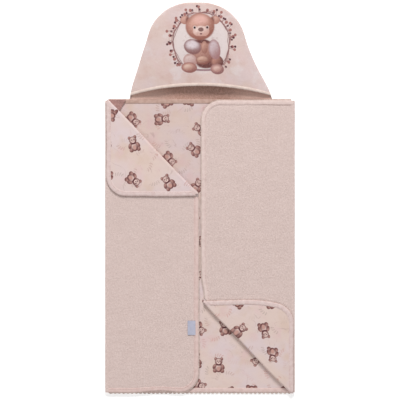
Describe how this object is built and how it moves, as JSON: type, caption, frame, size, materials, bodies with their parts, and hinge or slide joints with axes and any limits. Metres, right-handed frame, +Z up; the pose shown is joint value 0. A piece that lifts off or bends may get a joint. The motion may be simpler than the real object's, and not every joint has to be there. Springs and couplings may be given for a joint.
{
  "type": "hooded baby towel",
  "caption": "Folded hooded baby towel: printed cotton backed with terry, side flaps folded in, one corner of each turned back, bell-shaped hood with an open mouth.",
  "frame": {"origin": "centre of the folded towel's box, on the surface it lies on", "axes": "+Y along the towel towards the hood's crown, +Z up from the surface"},
  "size_m": [0.4508, 0.93, 0.0184],
  "materials": {
    "terry": "matt looped terry",
    "printed_cotton": "matt printed plain weave",
    "binding_tape": "matt folded cotton tape",
    "scalloped_edging": "matt crochet scallops",
    "cream_binding": "matt folded tape with picots",
    "satin_label": "smooth satin ribbon"
  },
  "bodies": {
    "back_panel": {"back_terry": "terry", "back_lining": "printed_cotton", "back_bottom_binding": "binding_tape", "back_top_binding": "binding_tape", "back_bottom_edging": "scalloped_edging", "left_fold_roll_terry": "terry", "left_fold_roll_lining": "printed_cotton", "right_fold_roll_terry": "terry", "right_fold_roll_lining": "printed_cotton"},
    "left_flap": {"left_flap_terry": "terry", "left_flap_lining": "printed_cotton", "left_flap_binding": "binding_tape", "left_flap_edging": "scalloped_edging", "side_label": "satin_label", "left_corner_roll_terry": "terry", "left_corner_roll_lining": "printed_cotton"},
    "left_corner": {"left_corner_terry": "terry", "left_corner_lining": "printed_cotton", "left_corner_binding": "binding_tape", "left_corner_edging": "scalloped_edging"},
    "right_flap": {"right_flap_terry": "terry", "right_flap_lining": "printed_cotton", "right_flap_binding": "binding_tape", "right_flap_edging": "scalloped_edging", "right_corner_roll_terry": "terry", "right_corner_roll_lining": "printed_cotton"},
    "right_corner": {"right_corner_terry": "terry", "right_corner_lining": "printed_cotton", "right_corner_binding": "binding_tape", "right_corner_edging": "scalloped_edging"},
    "hood_back": {"hood_back_outer": "printed_cotton", "hood_back_terry": "terry"},
    "hood_front": {"hood_front_outer": "printed_cotton", "hood_front_terry": "terry", "hood_mouth_binding": "cream_binding"}
  },
  "joints": [
    {"name": "left_flap_fold", "type": "hinge", "parent": "back_panel", "child": "left_flap", "pos_m": [-0.2209, -0.115, 0.0041], "axis": [0, -1, 0], "range_deg": [0, 180], "deforming": ["left_fold_roll_terry", "left_fold_roll_lining"]},
    {"name": "left_corner_fold", "type": "hinge", "parent": "left_flap", "child": "left_corner", "pos_m": [-0.1106, 0.1202, 0.00835], "axis": [-0.7071, 0.7071, 0], "range_deg": [0, 180], "deforming": ["left_corner_roll_terry", "left_corner_roll_lining"]},
    {"name": "right_flap_fold", "type": "hinge", "parent": "back_panel", "child": "right_flap", "pos_m": [0.2209, -0.115, 0.0041], "axis": [0, 1, 0], "range_deg": [0, 180], "deforming": ["right_fold_roll_terry", "right_fold_roll_lining"]},
    {"name": "right_corner_fold", "type": "hinge", "parent": "right_flap", "child": "right_corner", "pos_m": [0.1106, -0.3502, 0.00835], "axis": [0.7071, -0.7071, 0], "range_deg": [0, 180], "deforming": ["right_corner_roll_terry", "right_corner_roll_lining"]},
    {"name": "hood_fold", "type": "hinge", "parent": "back_panel", "child": "hood_back", "pos_m": [0, 0.235, 0.0041], "axis": [1, 0, 0], "range_deg": [0, 90]},
    {"name": "hood_mouth", "type": "hinge", "parent": "hood_back", "child": "hood_front", "pos_m": [0, 0.465, 0.00293], "axis": [-1, 0, 0], "range_deg": [0, 35]}
  ]
}
